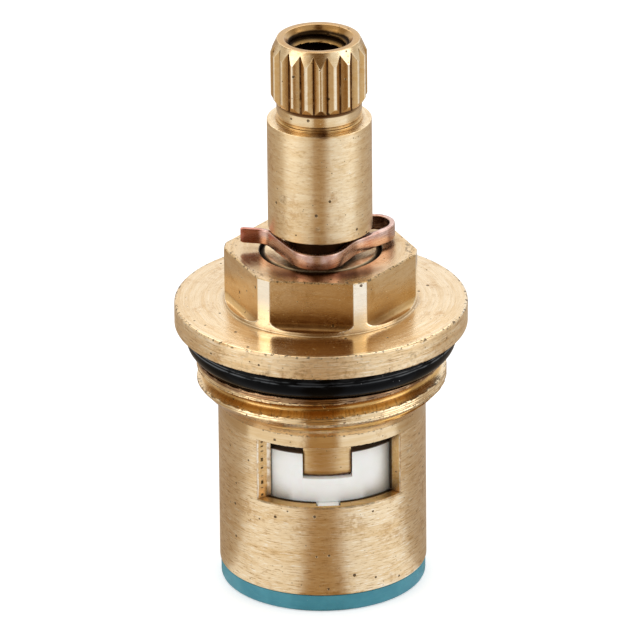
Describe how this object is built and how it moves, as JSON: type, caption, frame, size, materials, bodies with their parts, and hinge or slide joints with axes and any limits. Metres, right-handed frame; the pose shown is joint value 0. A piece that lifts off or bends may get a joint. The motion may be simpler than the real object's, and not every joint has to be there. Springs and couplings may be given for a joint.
{
  "type": "ceramic disc tap cartridge",
  "caption": "Quarter-turn tap cartridge: splined brass spindle in a hexagon bonnet with flange, pipe thread and windowed barrel, ceramic discs inside and a silicone seal below.",
  "frame": {"origin": "on the spindle's axis, at the seal's end face, which the cartridge stands on", "axes": "+Z along the spindle's axis towards its splined head; the outlet windows face -Y and +Y"},
  "size_m": [0.0244, 0.0244, 0.0483],
  "materials": {
    "bonnet_brass": "turned, with fine tool marks",
    "spindle_brass": "turned and rolled, with fine tool marks",
    "clip_bronze": "rolled copper-coloured spring strip",
    "black_rubber": "smooth moulded rubber",
    "washer_plastic": "smooth low-friction plastic",
    "ceramic": "white sintered ceramic, satin rim",
    "seal_silicone": "matte moulded silicone"
  },
  "bodies": {
    "body": {"bonnet": "bonnet_brass", "flange_oring": "black_rubber", "thrust_washer": "washer_plastic", "fixed_disc": "ceramic", "bottom_seal": "seal_silicone"},
    "spindle": {"spindle": "spindle_brass", "spindle_clip": "clip_bronze", "upper_spindle_oring": "black_rubber", "lower_spindle_oring": "black_rubber"},
    "moving_disc": {"moving_disc": "ceramic"}
  },
  "joints": [
    {"name": "spindle_turn", "type": "hinge", "parent": "body", "child": "spindle", "pos_m": [0, 0, 0.03], "axis": [0, 0, 1], "range_deg": [0, 90]},
    {"name": "disc_turn", "type": "hinge", "parent": "body", "child": "moving_disc", "pos_m": [0, 0, 0.0117], "axis": [0, 0, 1], "range_deg": [0, 90]}
  ],
  "couplings": [
    {"joint": "disc_turn", "follows": "spindle_turn", "ratio": 1}
  ]
}
